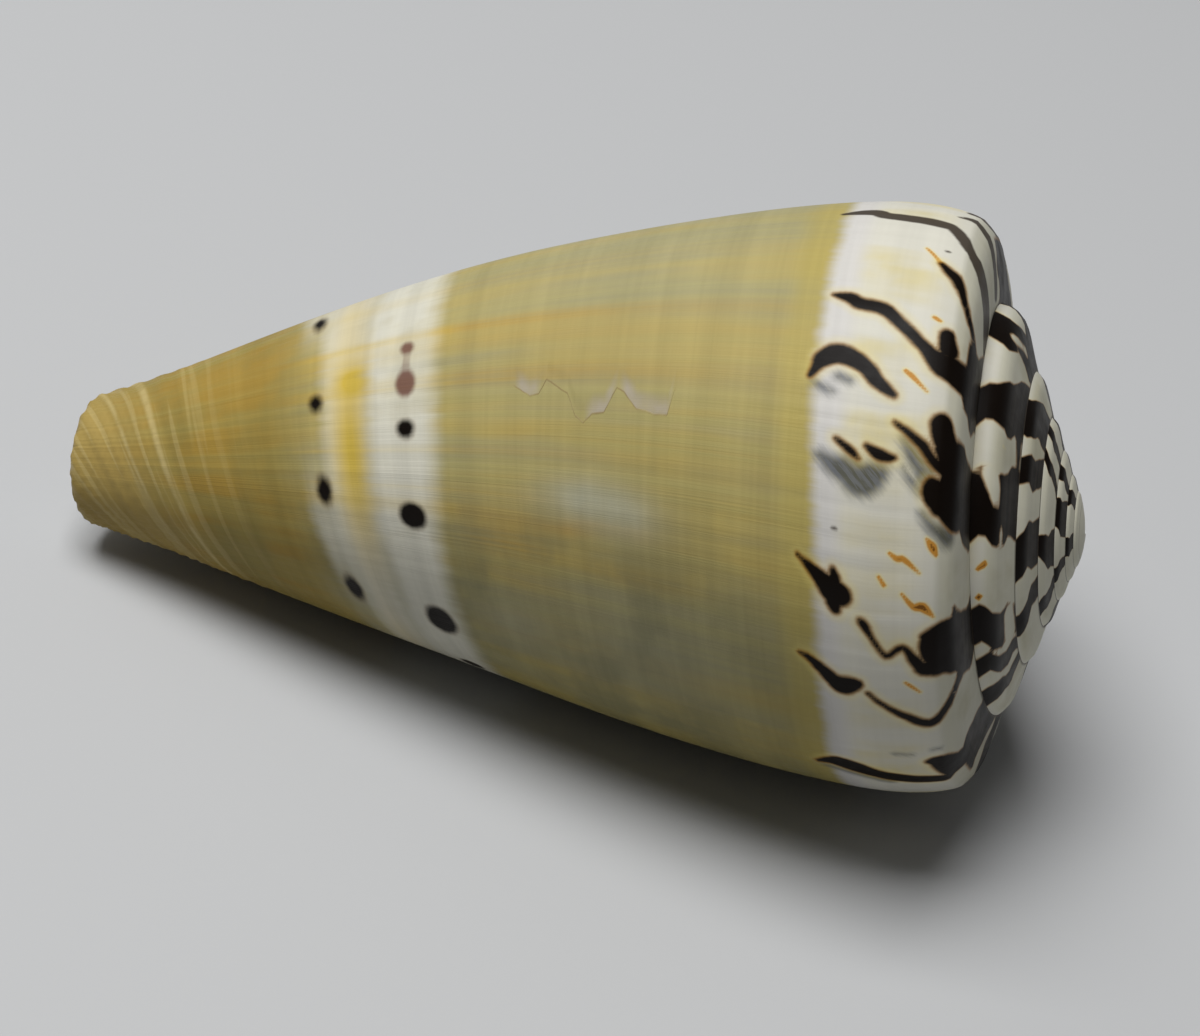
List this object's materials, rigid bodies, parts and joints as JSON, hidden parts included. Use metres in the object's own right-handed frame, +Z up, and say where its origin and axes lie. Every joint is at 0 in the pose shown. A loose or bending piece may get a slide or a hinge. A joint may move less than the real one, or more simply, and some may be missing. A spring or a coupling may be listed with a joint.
{
  "type": "cone shell",
  "caption": "Empty right-handed cone shell, olive-yellow with white bands and dark blotches, lying on its mouth side.",
  "frame": {"origin": "on the surface that the shell lies on, under the centre of its box", "axes": "+X towards the spire, level; +Z up, with the mouth turned down; -Y is the side with the scar"},
  "size_m": [0.071, 0.0422, 0.0391],
  "materials": {
    "shell": "polished shell: olive-yellow side, white shoulder and band with near-black brown markings"
  },
  "bodies": {
    "root": {"cone_shell": "shell"}
  },
  "joints": []
}
